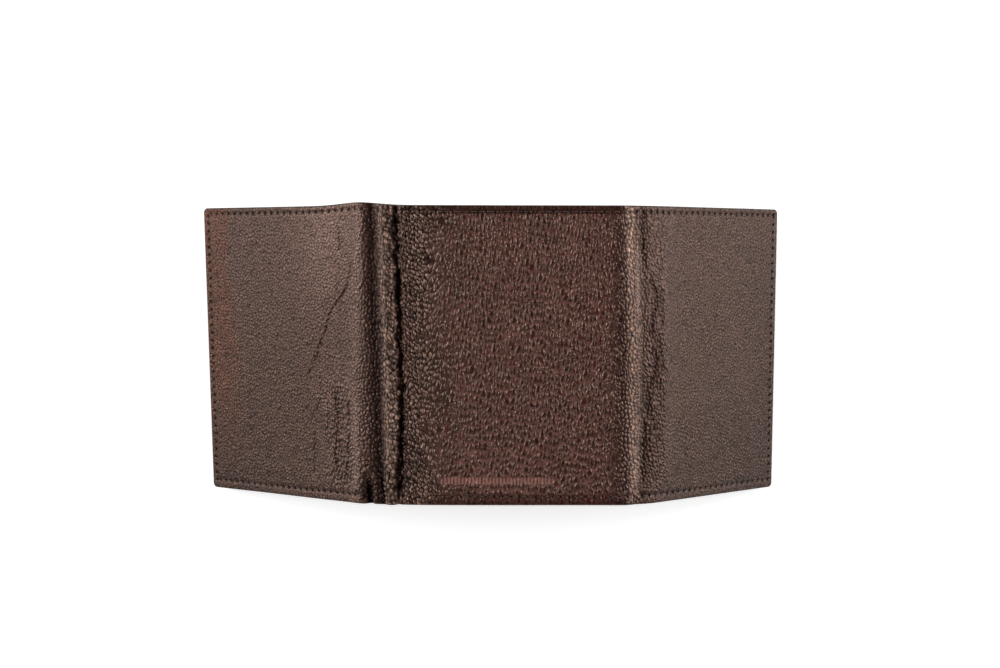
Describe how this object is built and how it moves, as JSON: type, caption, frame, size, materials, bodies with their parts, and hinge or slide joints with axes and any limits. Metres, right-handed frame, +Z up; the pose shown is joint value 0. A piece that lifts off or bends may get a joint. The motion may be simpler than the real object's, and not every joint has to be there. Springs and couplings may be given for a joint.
{
  "type": "trifold wallet",
  "caption": "Leather trifold wallet standing half open on its flaps, outside up; each flap folds in over its spine to close it.",
  "frame": {"origin": "on the surface that the two flaps stand on, at the middle of the wallet's outline", "axes": "+X across the opened wallet, from the left flap to the right one as seen from outside; +Y along the creases, towards the mouth of the bill pocket; +Z up, out of the leather's outer face"},
  "size_m": [0.2198, 0.108, 0.0504],
  "materials": {
    "outer_leather": "pebbled grain, satin",
    "inner_leather": "smooth fine grain, satin",
    "lining_cloth": "plain woven, matt",
    "pocket_cloth": "plain woven, matt",
    "window_film": "clear, glossy",
    "thread": "waxed polyester thread"
  },
  "bodies": {
    "centre": {"centre_shell": "outer_leather", "centre_lining": "lining_cloth", "centre_inner_wall": "inner_leather", "centre_back_pocket": "pocket_cloth", "centre_back_facing": "inner_leather", "centre_middle_pocket": "pocket_cloth", "centre_middle_facing": "inner_leather", "centre_front_pocket": "inner_leather", "centre_pocket_stitching": "thread", "centre_stitching": "thread"},
    "left_spine": {"left_spine_shell": "outer_leather", "left_spine_lining": "lining_cloth", "left_spine_gusset": "inner_leather", "left_spine_stitching": "thread"},
    "left_flap": {"left_flap_shell": "outer_leather", "left_flap_lining": "lining_cloth", "left_flap_inner_wall": "inner_leather", "left_flap_back_pocket": "pocket_cloth", "left_flap_back_facing": "inner_leather", "left_flap_middle_pocket": "pocket_cloth", "left_flap_middle_facing": "inner_leather", "left_flap_front_pocket": "inner_leather", "left_flap_pocket_stitching": "thread", "left_flap_stitching": "thread"},
    "right_spine": {"right_spine_shell": "outer_leather", "right_spine_lining": "lining_cloth", "right_spine_gusset": "inner_leather", "right_spine_stitching": "thread"},
    "right_flap": {"right_flap_shell": "outer_leather", "right_flap_lining": "lining_cloth", "right_flap_inner_wall": "inner_leather", "id_window_film": "window_film", "id_window_frame": "inner_leather", "id_window_stitching": "thread", "right_flap_stitching": "thread"}
  },
  "joints": [
    {"name": "left_spine_fold", "type": "hinge", "parent": "centre", "child": "left_spine", "pos_m": [-0.03441, 0, 0.04987], "axis": [0, -1, 0], "range_deg": [-17.25, 72.75]},
    {"name": "left_flap_fold", "type": "hinge", "parent": "left_spine", "child": "left_flap", "pos_m": [-0.04702, 0, 0.04595], "axis": [0, -1, 0], "range_deg": [-17.25, 72.75]},
    {"name": "right_spine_fold", "type": "hinge", "parent": "centre", "child": "right_spine", "pos_m": [0.04759, 0, 0.04987], "axis": [0, 1, 0], "range_deg": [-19.81, 70.19]},
    {"name": "right_flap_fold", "type": "hinge", "parent": "right_spine", "child": "right_flap", "pos_m": [0.05493, 0, 0.04722], "axis": [0, 1, 0], "range_deg": [-19.81, 70.19]}
  ],
  "couplings": [
    {"joint": "left_flap_fold", "follows": "left_spine_fold", "ratio": 1},
    {"joint": "right_flap_fold", "follows": "right_spine_fold", "ratio": 1}
  ]
}
